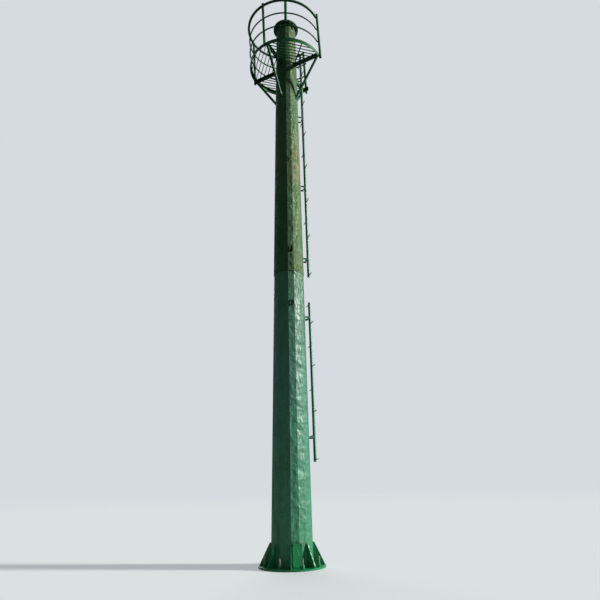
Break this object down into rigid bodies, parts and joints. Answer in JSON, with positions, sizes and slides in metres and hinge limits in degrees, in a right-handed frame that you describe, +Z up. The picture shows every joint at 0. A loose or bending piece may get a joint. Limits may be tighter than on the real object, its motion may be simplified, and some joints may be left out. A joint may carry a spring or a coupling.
{
  "type": "lightning protection tower",
  "caption": "Tapered green steel monopole with a slip joint, a pegged climbing rail, a ring platform with guard rail under its head flange, and a lightning rod on top.",
  "frame": {"origin": "centre of the base flange's underside, on the shaft's axis", "axes": "+Z up along the shaft, -Y towards the camera side of the picture, +X to the right side, where the climbing rail runs"},
  "size_m": [1.8435, 1.8642, 16.685],
  "materials": {
    "shaft_paint": "weathered gloss green paint, blotchy",
    "base_paint": "fresher saturated green gloss paint",
    "platform_paint": "dark green gloss paint",
    "rail_paint": "dark blue-green gloss paint",
    "bare_steel": "dull galvanised steel"
  },
  "bodies": {
    "root": {"base_flange": "base_paint", "base_gussets": "base_paint", "climbing_pegs_lower": "rail_paint", "climbing_pegs_upper": "rail_paint", "climbing_rail_lower": "rail_paint", "climbing_rail_upper": "rail_paint", "floor_panel_front": "platform_paint", "floor_panel_left": "platform_paint", "floor_panel_rear": "platform_paint", "guard_lower_rail": "platform_paint", "guard_post_front_left": "platform_paint", "guard_post_front_right": "platform_paint", "guard_post_rear_left": "platform_paint", "guard_post_rear_right": "platform_paint", "guard_top_rail": "platform_paint", "guard_upper_rail": "platform_paint", "hand_hole_cover": "base_paint", "hand_hole_frame": "base_paint", "head_flange": "shaft_paint", "head_flange_ribs": "shaft_paint", "lower_jacking_lugs": "shaft_paint", "lower_shaft": "shaft_paint", "platform_arm_front_left": "platform_paint", "platform_arm_front_right": "platform_paint", "platform_arm_rear_left": "platform_paint", "platform_arm_rear_right": "platform_paint", "platform_ring": "platform_paint", "platform_strut_front_left": "platform_paint", "platform_strut_front_right": "platform_paint", "platform_strut_rear_left": "platform_paint", "platform_strut_rear_right": "platform_paint", "rail_straps_lower": "rail_paint", "rail_straps_upper": "rail_paint", "rod_base_flange": "platform_paint", "rod_base_ribs": "platform_paint", "rod_lower_tube": "platform_paint", "rod_reducers": "platform_paint", "rod_tip": "bare_steel", "rod_upper_tube": "platform_paint", "strut_foot_plates": "platform_paint", "upper_jacking_lugs": "shaft_paint", "upper_shaft": "shaft_paint"}
  },
  "joints": []
}
